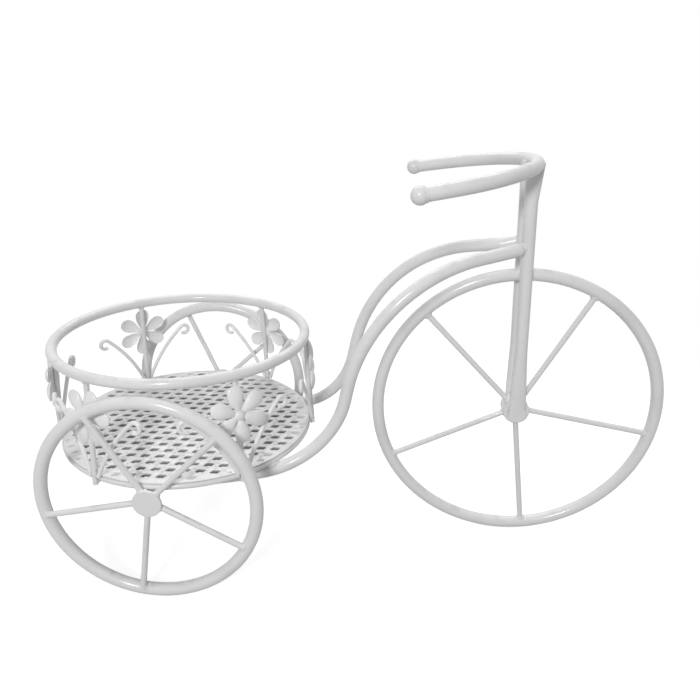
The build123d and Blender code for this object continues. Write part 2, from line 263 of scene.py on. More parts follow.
@dataclass(frozen=True)
class Enamel:
    """Stove enamel sprayed on bent steel: glossy, with orange peel, thin spots and a little dust.

    A span holds the values between which a mask rises from 0 to 1.
    """

    name: str
    tone: float = 0.8
    tone_warmth: float = 0.002
    thin_tone: float = 0.7
    thin_warmth: float = 0.006
    dust_tone: float = 0.5
    dust_warmth: float = 0.02
    dust: float = 0.3
    soil_and_shade_tone: float = 0.3
    soil_and_shade_warmth: float = 0.01
    cloud: Mottle = Mottle(22.0, 3.0, 0.5, 0.72, 0.5)
    patch: Mottle = Mottle(75.0, 4.0)
    patch_span: Span = (0.58, 0.8)
    patch_share: float = 0.35
    settled_span: Span = (0.48, 0.7)
    upward_span: Span = (0.2, 1.0)
    fleck: Mottle = Mottle(900.0, 1.0, 0.72, 0.8, 0.6)
    speck: Mottle = Mottle(1400.0, 1.0, 0.74, 0.8, 0.12)
    peel: Mottle = Mottle(260.0, 2.0)
    peel_depth: float = 0.05 * MM
    peel_strength: float = 0.6
    sag: Mottle = Mottle(60.0, 2.0, stretch=(1.0, 1.0, 0.35))
    sag_share: float = 1.6
    gloss: float = 0.27
    dull: float = 0.42
    patch_dulling: float = 0.6
    dust_dulling: float = 0.5
    soil_and_shade_dulling: float = 0.3
    coat: float = 0.6
    coat_roughness: float = 0.14
    edge_blend: float = 0.35
    level: float = 0.1
    refraction: float = 1.5

    def soil_and_shade(self, graph: Graph) -> Signal:
        """Return how dirty each place is: specks on tubes that nothing covers."""
        return self.speck.mask(graph)

    def colour(self, graph: Graph, patch: Signal, settled: Signal, soil_and_shade: Signal) -> Signal:
        """Return the paint's colour, thin in clouds and patches, under dust, and under soil and painted
        shade.

        Args:
            graph: The tree that takes its nodes.
            patch: The noise of the patches.
            settled: How much dust lies on each place.
            soil_and_shade: How dirty each place is, and on the pierced floor how much shade is painted there.

        Returns:
            The colour.
        """
        thin = self.cloud.mask(graph) + patch.ramp(*self.patch_span) * self.patch_share
        paint = graph.tint(thin, grey(self.tone, self.tone_warmth), grey(self.thin_tone, self.thin_warmth))
        dusted = graph.tint(settled, paint, grey(self.dust_tone, self.dust_warmth))
        # Soil darkens the colour here; on the pierced floor the same mask also paints shade into the gaps.
        return graph.tint(soil_and_shade, dusted, grey(self.soil_and_shade_tone, self.soil_and_shade_warmth))

    def material(self) -> bpy.types.Material:
        """Make the material.

        Returns:
            The material.
        """
        made, graph = new_material(self.name)
        patch = self.patch.on(graph)
        normal = graph.node("NewGeometry", output="Normal")
        upward = graph.height_of(normal).ramp(*self.upward_span)
        settled = (patch.ramp(*self.settled_span) * upward + self.fleck.mask(graph)) * self.dust
        soil_and_shade = self.soil_and_shade(graph)
        roughness = self.gloss + patch * (self.dull - self.gloss) * self.patch_dulling
        roughness = roughness + settled * self.dust_dulling + soil_and_shade * self.soil_and_shade_dulling
        bump = graph.node("Bump", {
            "Strength": self.peel_strength, "Distance": self.peel_depth,
            "Height": self.peel.on(graph) + self.sag.on(graph) * self.sag_share})
        edge = graph.node("LayerWeight", {"Blend": self.edge_blend}, "Facing")
        surface = graph.node("BsdfPrincipled", {
            "Base Color": self.colour(graph, patch, settled, soil_and_shade), "Roughness": roughness, "Normal": bump,
            "Specular IOR Level": self.level, "IOR": self.refraction, "Coat Roughness": self.coat_roughness,
            "Coat Weight": (1.0 - edge) * (1.0 - settled) * (1.0 - soil_and_shade) * self.coat})
        graph.node("OutputMaterial", {"Surface": surface})
        return made


@dataclass(frozen=True)
class WeldEnamel(Enamel):
    """Enamel over a weld, thinner and stained where the bead's hollows hold it back."""

    stain: float = 0.12
    blot: Mottle = Mottle(520.0, 3.0, 0.4, 0.7, 0.35)

    def soil_and_shade(self, graph: Graph) -> Signal:
        """Return how stained each place is."""
        return self.blot.mask(graph) + self.stain


@dataclass(frozen=True)
class PiercedEnamel(Enamel):
    """Enamel on the pierced floor, with shade painted into its colour down the walls of its gaps and along
    its strands' low edges, and real grime in drifts.
    """

    top: float = 119.9 * MM
    lip: float = 0.5 * MM
    depth: float = 4.0 * MM
    recess_shade_curve: float = 0.45
    recess_shade_share: float = 0.95
    walled_span: Span = (-0.25, -0.05)
    drift: Mottle = Mottle(35.0, 3.0, 0.42, 0.68, 0.1)

    def soil_and_shade(self, graph: Graph) -> Signal:
        """Return painted shade that darkens each place the deeper it lies in a gap or below the strands'
        tops, none on the clean underside, with grime in drifts added.

        Args:
            graph: The tree that takes its nodes.

        Returns:
            How much painted shade and grime each place takes.
        """
        height = graph.height_of(graph.place())
        # Painted shade: the colour darkens with depth below the sheet's top, standing in for the shade inside
        # the gaps and the strands' recesses.
        painted_recess_shade = (1.0 - height.ramp(self.top - self.depth, self.top - self.lip)) ** self.recess_shade_curve
        facing = graph.node("NewGeometry", output="True Normal")
        walled = graph.height_of(facing).ramp(*self.walled_span)
        return (painted_recess_shade * walled * self.recess_shade_share + self.drift.mask(graph)).math("MINIMUM", 1.0)


@dataclass(frozen=True)
class Steel:
    """Zinc-plated spring steel, with fine rolling lines and dark stains of a tone and a warmth."""

    name: str
    tone: float = 0.55
    dark: Span = (0.4, 0.02)
    gloss: float = 0.28
    dulling: float = 0.25
    line: Mottle = Mottle(900.0, 3.0, stretch=(1.0, 0.1, 1.0))
    line_depth: float = 0.03 * MM
    line_strength: float = 0.4
    stain: Mottle = Mottle(160.0, 3.0)
    stain_span: Span = (0.4, 0.7)

    def material(self) -> bpy.types.Material:
        """Make the material.

        Returns:
            The material.
        """
        made, graph = new_material(self.name)
        stain = self.stain.on(graph)
        colour = graph.tint(stain.ramp(*self.stain_span), grey(self.tone), grey(*self.dark))
        bump = graph.node("Bump", {
            "Strength": self.line_strength, "Distance": self.line_depth, "Height": self.line.on(graph)})
        surface = graph.node("BsdfPrincipled", {
            "Base Color": colour, "Metallic": 1.0, "Roughness": self.gloss + stain * self.dulling,
            "Normal": bump})
        graph.node("OutputMaterial", {"Surface": surface})
        return made


class Finishes:
    """The finishes by slot, each made once."""

    def __init__(self) -> None:
        """Make every material."""
        recipes = {
            Slot.FRAME: Enamel("frame_enamel"),
            Slot.WHEEL: Enamel("wheel_enamel"),
            Slot.BASKET: Enamel("basket_enamel", tone=0.79, peel=Mottle(300.0, 2.0)),
            # Painted light: the flowers are the frame's white enamel with a lighter tone, lifting the shade
            # on their domed petals.
            Slot.ORNAMENT: Enamel(
                "ornament_enamel", tone=0.88, thin_tone=0.8, peel=Mottle(330.0, 2.0), peel_depth=0.04 * MM),
            Slot.CLIP: Steel("clip_steel"),
        }
        self.made = {slot: recipe.material() for slot, recipe in recipes.items()}
        self.weld = WeldEnamel("weld_enamel", tone=0.76, dust=0.4, peel=Mottle(420.0, 2.0)).material()
        # The pierced floor's darkest tone is the colour of the shade painted in its gaps, and of its grime.
        pierced = PiercedEnamel("pierced_enamel", tone=0.79, soil_and_shade_tone=0.2, peel=Mottle(360.0, 2.0))
        self.pierced = pierced.material()

    def dress(self, piece: bpy.types.Object, slot: Slot, special: bpy.types.Material | None = None) -> None:
        """Give a piece the material of a slot, or a special material in its place."""
        piece.data.materials.clear()
        piece.data.materials.append(special or self.made[slot])

    def dress_nodes(self, frame: dict[str, object]) -> None:
        """Dress every CAD node with the finish of its slot in the record.

        Args:
            frame: The CAD frame, with its nodes and record.
        """
        for row in frame["record"]["subparts"]:
            self.dress(frame["nodes"][row["node"]], Slot(row["material_slot"]))
        log.info("dressed %d nodes", len(frame["nodes"]))


# Drawing


def show(name: str, data: bpy.types.ID) -> bpy.types.Object:
    """Put an object into the scene.

    Args:
        name: The object's name.
        data: Its mesh, light or camera.

    Returns:
        The object.
    """
    shown = bpy.data.objects.new(name, data)
    bpy.context.scene.collection.objects.link(shown)
    return shown


class Draft:
    """A mesh drawn in parts, then kept as one piece that rides on a body."""

    sharp_degrees = 52

    def __init__(self, name: str, body: Body, slot: Slot) -> None:
        """Start an empty mesh.

        Args:
            name: The piece's name.
            body: The body that it rides on.
            slot: The material slot that it belongs to.
        """
        self.name = name
        self.body = body
        self.slot = slot
        self.mesh = bmesh.new()

    def grid(
        self, rows: Sequence[Sequence[Vector]], wrap_rows: bool, wrap_columns: bool
    ) -> list[list[bmesh.types.BMVert]]:
        """Join rows of points into quads.

        Args:
            rows: The points, row by row.
            wrap_rows: Whether the last row joins the first.
            wrap_columns: Whether each row's last point joins its first.

        Returns:
            The new corners, row by row.
        """
        corners = [[self.mesh.verts.new(point) for point in row] for row in rows]
        count, width = len(corners), len(corners[0])
        for i in range(count if wrap_rows else count - 1):
            for j in range(width if wrap_columns else width - 1):
                low, high = corners[i], corners[(i + 1) % count]
                k = (j + 1) % width
                self.mesh.faces.new((low[j], low[k], high[k], high[j]))
        return corners

    def cap(self, ring: Sequence[bmesh.types.BMVert], tip: Vector) -> None:
        """Close a ring of corners with triangles to one tip.

        Args:
            ring: The corners, in order.
            tip: The point that the triangles meet at.
        """
        peak = self.mesh.verts.new(tip)
        for near, far in zip(ring, [*ring[1:], ring[0]]):
            self.mesh.faces.new((near, far, peak))

    def keep(
        self, finishes: Finishes, special: bpy.types.Material | None = None, replaces: Sequence[str] = ()
    ) -> None:
        """Turn the draft into a shown piece.

        Args:
            finishes: The materials by slot.
            special: A material to use in place of the slot's own.
            replaces: The nodes that this piece stands for.
        """
        bmesh.ops.recalc_face_normals(self.mesh, faces=self.mesh.faces)
        data = bpy.data.meshes.new(self.name)
        self.mesh.to_mesh(data)
        self.mesh.free()
        data.shade_smooth()
        data.set_sharp_from_angle(angle=math.radians(self.sharp_degrees))
        piece = show(self.name, data)
        finishes.dress(piece, self.slot, special)
        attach(piece, self.body.value)
        if replaces:
            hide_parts(*replaces)
        log.info("piece %s with %d faces", self.name, len(data.polygons))


@dataclass(frozen=True)
class Bead:
    """A painted weld bead: an uneven rounded run along a line of points."""

    radius: float = 1.4 * MM
    unevenness: float = 0.32
    ripple: float = 330.0
    sides: int = 8
    end_swell: float = 0.08

    def lay(self, draft: Draft, path: Sequence[Vector], up: Vector, closed: bool = True) -> None:
        """Add the bead to a draft.

        Args:
            draft: The mesh that takes the bead.
            path: The points along its middle.
            up: A direction that the path never runs along.
            closed: Whether the last point joins the first.
        """
        count = len(path)
        rows = []
        for i, point in enumerate(path):
            after = path[(i + 1) % count] if closed or i + 1 < count else point
            before = path[i - 1] if closed or i else point
            along = (after - before).normalized()
            side = along.cross(up).normalized()
            top = side.cross(along)
            bulge = max(self.end_swell, math.sin(math.pi * (i + 0.5) / count))
            swell = 1.0 if closed else math.sqrt(bulge)
            row = []
            for j in range(self.sides):
                turn = math.tau * j / self.sides
                spoke = side * math.cos(turn) + top * math.sin(turn)
                wave = self.unevenness * noise.noise((point + spoke * MM) * self.ripple)
                row.append(point + spoke * (self.radius * swell * (1 + wave)))
            rows.append(row)
        corners = draft.grid(rows, closed, True)
        if not closed:
            draft.cap(corners[0], path[0])
            draft.cap(corners[-1], path[-1])


@dataclass(frozen=True)
class Rod:
    """The last run of a rod towards the piece that it is welded to, with an oval section."""

    start: Vector
    end: Vector
    wide: float
    narrow: float
    wide_way: Vector


def round_rod(start: Vector, end: Vector, radius: float) -> Rod:
    """Return a rod of round section."""
    return Rod(start, end, radius, radius, (end - start).orthogonal())


def patch(
    middle: Vector, normal: Vector, long_way: Vector, long: float, short: float, count: int = 20
) -> list[Vector]:
    """Return an oval ring of points, round a rod or a place where two rods touch.

    Args:
        middle: The ring's middle.
        normal: The direction that the ring faces.
        long_way: The direction in which the oval is longer.
        long: Half the oval's length.
        short: Half the oval's width.
        count: How many points the ring has.

    Returns:
        The ring of points.
    """
    normal = normal.normalized()
    side = (long_way - normal * long_way.dot(normal)).normalized()
    top = normal.cross(side)
    turns = [math.tau * i / count for i in range(count)]
    return [middle + side * (long * math.cos(turn)) + top * (short * math.sin(turn)) for turn in turns]


class Surfaces:
    """The CAD nodes' surfaces, for finding where one piece meets another."""

    def __init__(self, nodes: dict[str, bpy.types.Object]) -> None:
        """Keep the nodes, and make each tree when it is first asked for."""
        self.nodes = nodes
        self.trees: dict[str, BVHTree] = {}

    def tree(self, name: str) -> BVHTree:
        """Return the search tree of one node's surface.

        Args:
            name: The node's name.

        Returns:
            The tree.
        """
        if name not in self.trees:
            mesh = self.nodes[name].data
            points = [corner.co for corner in mesh.vertices]
            self.trees[name] = BVHTree.FromPolygons(points, [tuple(face.vertices) for face in mesh.polygons])
        return self.trees[name]

    def collar(self, rod: Rod, onto: str, count: int = 26) -> list[Vector]:
        """Return the ring of points where a rod's end meets a node.

        Args:
            rod: The rod, from a point clear of the node to its own end.
            onto: The node that the rod runs into.
            count: How many points the ring has.

        Returns:
            The ring, which follows the rod's end where that passes the node by.
        """
        along = (rod.end - rod.start).normalized()
        length = (rod.end - rod.start).length
        ring = []
        for edge in patch(rod.start, rod.end - rod.start, rod.wide_way, rod.wide, rod.narrow, count):
            hit, _, _, reach = self.tree(onto).ray_cast(edge, along)
            ring.append(hit if hit is not None and reach < length else edge + along * length)
        return ring

    def touch(self, line: Sequence[Vector], onto: str) -> tuple[Vector, Vector]:
        """Return the point of a line that comes nearest to a node, and the node's point beside it."""
        pairs = [(point, self.tree(onto).find_nearest(point)[0]) for point in line]
        return min(pairs, key=lambda pair: (pair[0] - pair[1]).length)


@dataclass
class Assembly:
    """A sub-assembly, which finds its joints on the CAD's surfaces and dresses what it draws."""

    surfaces: Surfaces
    finishes: Finishes


# Wheels


@dataclass
class Wheel(Assembly):
    """A wheel's spokes, rim seam and welds."""

    body: Body
    prefix: str
    centre: Vector
    rim_radius: float
    first_degrees: float
    seam_place: float
    tube: float = 6.0 * MM
    spoke: float = 2.75 * MM
    spoke_count: int = 5
    bead: Bead = Bead()
    seam_bead: Bead = Bead(0.5 * MM, 0.3, 500.0)
    seam_inset: float = 0.4 * MM
    seam_points: int = 28

    def ray(self, index: float) -> Vector:
        """Return the direction of a spoke, or of a place between two."""
        turn = math.radians(self.first_degrees + index * 360 / self.spoke_count)
        return Vector((math.cos(turn), 0, math.sin(turn)))

    def seam(self, draft: Draft) -> None:
        """Lay the ground-down seam where the bent rim closes.

        Args:
            draft: The mesh that takes the seam.
        """
        ray = self.ray(self.seam_place)
        along = ray.cross(LEFT)
        size = self.tube - self.seam_inset
        ring = patch(self.centre + ray * self.rim_radius, along, ray, size, size, self.seam_points)
        self.seam_bead.lay(draft, ring, along)


@dataclass
class FrontWheel(Wheel):
    """The front wheel, whose spokes butt against the hub and the inside of the rim."""

    hub_radius: float = 13.0 * MM
    weld_out: float = 0.1 * MM

    def build(self) -> None:
        """Weld every spoke at both ends and close the rim."""
        draft = Draft("front_wheel_welds", self.body, Slot.WHEEL)
        for index in range(self.spoke_count):
            ray = self.ray(index)
            start = self.centre + ray * (self.hub_radius + self.rim_radius) / 2
            for end, onto in ((self.centre + ray * self.rim_radius, "rim"), (self.centre, "hub")):
                rod = round_rod(start, end, self.spoke + self.weld_out)
                ring = self.surfaces.collar(rod, f"{self.prefix}_{onto}")
                self.bead.lay(draft, ring, end - start)
        self.seam(draft)
        draft.keep(self.finishes)


@dataclass
class RearWheel(Wheel):
    """A rear wheel, whose spokes run from behind the hub disc to the outer side of the rim."""

    side: int = -1
    disc_radius: float = 13.5 * MM
    disc_inner: float = 2.5 * MM
    root_out: float = -0.25 * MM
    tip_out: float = 4.5 * MM
    tip_short: float = 2.0 * MM
    tip_flat: float = 1.8 * MM
    edge_back: float = 0.6 * MM
    edge_inset: float = 1.8 * MM
    edge_long: float = 1.6 * MM

    def build(self) -> None:
        """Weld every spoke to the rim and to the back of the hub disc, and close the rim."""
        draft = Draft(f"{self.prefix}_welds", self.body, Slot.WHEEL)
        across = LEFT * self.side
        for index in range(self.spoke_count):
            ray = self.ray(index)
            root = self.centre + across * self.root_out
            tip = self.centre + across * self.tip_out + ray * (self.rim_radius - self.tip_short)
            middle = (root + tip) / 2
            last = Rod(middle, tip, self.spoke, self.spoke - self.tip_flat, ray.cross(across))
            for rod, onto in ((last, "rim"), (round_rod(middle, root, self.spoke), "hub_sleeve")):
                self.bead.lay(draft, self.surfaces.collar(rod, f"{self.prefix}_{onto}"), ray)
            edge = across * (self.disc_inner - self.edge_back) + ray * (self.disc_radius - self.edge_inset)
            ring = patch(self.centre + edge, across, ray, self.edge_long, self.spoke)
            self.bead.lay(draft, ring, across)
        self.seam(draft)
        draft.keep(self.finishes)


# Frame


@dataclass
class Fork(Assembly):
    """The fork's two legs, welded under the handlebar and to the frame tubes."""

    top_height: float = 0.389
    spread: float = 13.3 * MM
    rake_degrees: float = 2.35
    leg: float = 6.0 * MM
    head_oval: Span = (6.8 * MM, 4.5 * MM)
    head_ahead: float = 2.0 * MM
    head_taper: float = 34.0 * MM
    head_short: float = 5.0 * MM
    head_start: float = 0.6
    head_points: int = 34
    tail_start: float = 0.2
    tail_inset: float = 0.3 * MM
    tube_points: int = 30
    joint_height: float = 0.313
    end_behind: float = 9.6 * MM
    end_outside: float = 6.2 * MM
    end_oval: Span = (4.2 * MM, 2.8 * MM)
    ear_start: float = 0.12
    ear_oval: Span = (7.2 * MM, 2.6 * MM)
    shoulder: Triple = (192 * MM, 66 * MM, 290 * MM)
    heel: Triple = (156 * MM, 53 * MM, 102 * MM)
    tail: Triple = (0.0, 113 * MM, 109 * MM)
    ring_inset: float = 3.0 * MM
    rest_degrees: tuple[int, int] = (15, 100)
    rest_steps: int = 4
    rest_oval: Span = (5.2 * MM, 3.2 * MM)
    bead: Bead = Bead(1.6 * MM, 0.3, 240.0)
    fine: Bead = Bead(1.0 * MM, 0.35, 300.0)
    rest_bead: Bead = Bead(2.1 * MM, 0.55, 300.0)

    def __post_init__(self) -> None:
        """Start the mesh of the frame's welds."""
        self.draft = Draft("frame_welds", Body.ROOT, Slot.FRAME)

    def leg_point(self, side: int, height: float) -> Vector:
        """Return the point on a leg's centre line at a height."""
        back = (height - FRONT_AXLE_HEIGHT) * math.tan(math.radians(self.rake_degrees))
        return Vector((FRONT_AXLE_X - back, side * self.spread, height))

    def corner(self, side: int, place: Triple) -> Vector:
        """Return a frame tube's corner, mirrored for its side."""
        return Vector((REAR_AXLE_X + place[0], side * place[1], place[2]))

    def build(self) -> None:
        """Weld the heads to the handlebar, and the frame tubes to the legs, the axle and the base ring."""
        for side in (-1, 1):
            head = self.leg_point(side, self.top_height - self.head_short) + FORWARD * self.head_ahead
            neck = self.leg_point(side, self.top_height - self.head_taper)
            oval = Rod(neck.lerp(head, self.head_start), head, *self.head_oval, FORWARD)
            ring = self.surfaces.collar(oval, "handlebar", self.head_points)
            self.fine.lay(self.draft, ring, head - neck)
            tail, heel = self.corner(side, self.tail), self.corner(side, self.heel)
            rod = round_rod(tail.lerp(heel, self.tail_start), tail, self.leg - self.tail_inset)
            ring = self.surfaces.collar(rod, "rear_axle", self.tube_points)
            self.bead.lay(self.draft, ring, heel - tail)
        self.join()
        self.rest(-1, "frame_tube_right")
        self.rest(1, "frame_tube_left")
        self.draft.keep(self.finishes)

    def join(self) -> None:
        """Weld the right tube's round end and the left tube's flat ear to their legs."""
        right, left = self.leg_point(-1, self.joint_height), self.leg_point(1, self.joint_height)
        end = right + Vector((-self.end_behind, -self.end_outside, 0))
        ring = patch((right + end) / 2, end - right, UP, *self.end_oval)
        self.bead.lay(self.draft, ring, end - right)
        start = left.lerp(self.corner(1, self.shoulder), self.ear_start)
        ring = self.surfaces.collar(Rod(start, left, *self.ear_oval, UP), "fork_leg_left", self.tube_points)
        self.fine.lay(self.draft, ring, left - start)

    def rest(self, side: int, tube: str) -> None:
        """Weld the base ring down on a frame tube, at the place where it lies on it.

        Args:
            side: The tube's side, -1 for the right and 1 for the left.
            tube: The tube's node.
        """
        low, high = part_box("basket_base_ring")
        radius = (high.y - low.y) / 2 - self.ring_inset
        first, last = (degrees * self.rest_steps for degrees in self.rest_degrees)
        turns = [side * math.radians(step / self.rest_steps) for step in range(first, last)]
        line = [Vector((REAR_AXLE_X + radius * math.cos(t), radius * math.sin(t), low.z)) for t in turns]
        under, top = self.surfaces.touch(line, tube)
        along = Vector((under.y, REAR_AXLE_X - under.x, 0))
        self.rest_bead.lay(self.draft, patch((under + top) / 2, UP, along, *self.rest_oval), UP)


@dataclass
class Handlebar(Assembly):
    """The handlebar's ball ends, each with a thin weld collar behind it."""

    tube: float = 6.0 * MM
    droop_degrees: float = 9.1
    splay_degrees: float = 12.0
    ball_seat: float = 4.7 * MM
    points: int = 26
    bead: Bead = Bead(0.8 * MM, 0.3, 420.0)

    def build(self) -> None:
        """Lay a collar where each ball meets the tube."""
        draft = Draft("handlebar_welds", Body.ROOT, Slot.FRAME)
        droop, splay = math.radians(self.droop_degrees), math.radians(self.splay_degrees)
        for name, side in (("right", -1), ("left", 1)):
            low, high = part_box(f"grip_ball_{name}")
            back = -math.cos(splay)
            out = Vector((math.cos(droop) * back, side * math.sin(splay), math.sin(droop) * back))
            radius = (high.z - low.z) / 2
            ball = Vector((low.x + radius, (low.y + high.y) / 2, (low.z + high.z) / 2))
            neck = ball - out.normalized() * self.ball_seat
            self.bead.lay(draft, patch(neck, out, UP, self.tube, self.tube, self.points), out)
        draft.keep(self.finishes)


# Basket


@dataclass
class Upright:
    """One upright of the basket, with the flower outside it and the tendrils at its foot."""

    index: int
    degrees: float
    twist: float
    foot_radius: float = 130.2 * MM
    foot_height: float = 110.8 * MM
    head_radius: float = 123.5 * MM
    head_height: float = 215.0 * MM
    rod: float = 2.5 * MM

    def __post_init__(self) -> None:
        """Work out the upright's own axes."""
        turn = math.radians(self.degrees)
        self.out = Vector((math.cos(turn), math.sin(turn), 0))
        middle = Vector((REAR_AXLE_X, 0, 0))
        self.foot = middle + self.out * self.foot_radius + UP * self.foot_height
        self.head = middle + self.out * self.head_radius + UP * self.head_height
        self.rise = (self.head - self.foot).normalized()
        self.tangent = UP.cross(self.out)
        self.normal = self.tangent.cross(self.rise)

    def at(self, height: float) -> Vector:
        """Return the point on the upright's axis at a height."""
        return self.foot + self.rise * ((height - self.foot_height) / self.rise.z)


@dataclass
class Flower(Assembly):
    """A six-petalled flower pressed from sheet, with a domed button.

    The curves are powers that fill or thin a half wave, and the dips are shares of the sheet.
    """

    upright: Upright
    height: float = 178.0 * MM
    petals: int = 6
    first_degrees: float = 90.0
    petal_start: float = 4.2 * MM
    petal_end: float = 28.0 * MM
    petal_half: float = 7.6 * MM
    petal_tip: float = 0.15 * MM
    petal_rows: int = 26
    petal_columns: int = 16
    neck_half: float = 2.0 * MM
    neck_curve: float = 1.1
    widest: float = 0.66
    rise: float = 3.9 * MM
    rise_lean: float = 0.8
    rise_curve: float = 0.7
    rise_thinning: float = 0.35
    arch_curve: float = 1.1
    sheet: float = 1.2 * MM
    top_dip: float = 0.3
    edge_dip: float = 0.35
    under_dip: float = 0.5
    under_share: float = 0.98
    lap_share: float = 0.6
    lap_fade: float = 3.0
    disc_radius: float = 6.5 * MM
    disc_sheet: float = 1.6 * MM
    disc_round: float = 0.35
    disc_crown: float = 1.02
    button_radius: float = 4.9 * MM
    button_rise: float = 3.0 * MM
    button_sink: float = 0.5
    button_steps: int = 9
    sides: int = 32

    def __post_init__(self) -> None:
        """Start the mesh, and find the flower's place with its back on the upright and Z out of its face."""
        up = self.upright
        self.draft = Draft(f"flower_{up.index}_pressed", Body.ROOT, Slot.ORNAMENT)
        centre = up.at(self.height) + up.normal * up.rod
        turned = Matrix((up.tangent, up.normal.cross(up.tangent), up.normal)).transposed()
        twist = Matrix.Rotation(math.radians(up.twist), 4, "Z")
        self.seat = Matrix.Translation(centre) @ turned.to_4x4() @ twist

    def outline(self, share: float) -> float:
        """Return half the petal's width at a share of its length: an egg with its point inwards.

        Args:
            share: The share of the petal's length, from 0 to 1.

        Returns:
            Half the width.
        """
        if share > self.widest:
            return self.petal_half * math.sqrt(max(0.0, 1 - ((share - self.widest) / (1 - self.widest)) ** 2))
        swell = math.sin(math.pi / 2 * share / self.widest) ** self.neck_curve
        return self.neck_half + (self.petal_half - self.neck_half) * swell

    def section(self, seat: Matrix, share: float) -> list[Vector]:
        """Return a petal's cross-section, over its domed top and back below.

        Args:
            seat: The petal's place, with X along it.
            share: The section's place along the petal, from 0 to 1.

        Returns:
            The section's points.
        """
        reach = self.petal_start + (self.petal_end - self.petal_start) * share
        half = max(self.outline(share), self.petal_tip)
        hump = math.sin(math.pi * share ** self.rise_lean) ** self.rise_curve
        crown = self.rise * hump * (half / self.petal_half) ** self.rise_thinning
        base = self.disc_sheet * self.lap_share * max(0.0, 1 - share * self.lap_fade)
        upper, lower = [], []
        for step in range(self.petal_columns + 1):
            turn = math.pi * step / self.petal_columns
            across = -half * math.cos(turn)
            arch = math.sin(turn) ** self.arch_curve
            top = base + self.sheet + (crown - self.sheet * self.top_dip) * arch
            upper.append(seat @ Vector((reach, across, top - self.sheet * self.edge_dip * (1 - arch))))
            under = max(0.0, base + (crown - self.sheet * self.under_dip) * arch)
            lower.append(seat @ Vector((reach, across * self.under_share, under)))
        return [*upper, *reversed(lower)]

    def petal(self, seat: Matrix) -> None:
        """Draw one petal: a domed egg of sheet that stands on its edge.

        Args:
            seat: The petal's place, with X along it.
        """
        shares = [(1 - math.cos(math.pi * i / self.petal_rows)) / 2 for i in range(self.petal_rows + 1)]
        corners = self.draft.grid([self.section(seat, share) for share in shares], False, True)
        self.draft.mesh.faces.new(corners[0])
        self.draft.mesh.faces.new(corners[-1])

    def turned(self, profile: Sequence[Span]) -> None:
        """Draw a round part, closed at both ends.

        Args:
            profile: The part's radius and height, point by point.
        """
        turns = [math.tau * j / self.sides for j in range(self.sides)]
        rows = [
            [self.seat @ Vector((radius * math.cos(turn), radius * math.sin(turn), height)) for turn in turns]
            for radius, height in profile]
        corners = self.draft.grid(rows, False, True)
        for end in (0, -1):
            self.draft.cap(corners[end], self.seat @ Vector((0, 0, profile[end][1])))

    def build(self) -> None:
        """Draw the petals, the disc and the button as one piece."""
        for index in range(self.petals):
            turn = math.radians(self.first_degrees + index * 360 / self.petals)
            self.petal(self.seat @ Matrix.Rotation(turn, 4, "Z"))
        wide, thick, button = self.disc_radius, self.disc_sheet, self.button_radius
        edge = thick * self.disc_round
        self.turned([
            (wide - edge, 0.0), (wide, edge), (wide, thick - edge), (wide - edge, thick),
            (button, thick * self.disc_crown)])
        dome = [(button, thick * self.button_sink)]
        for i in range(self.button_steps):
            turn = math.pi / 2 * i / self.button_steps
            dome.append((button * math.cos(turn), thick + self.button_rise * math.sin(turn)))
        self.turned(dome)
        self.draft.keep(self.finishes, replaces=[f"flower_{self.upright.index}"])


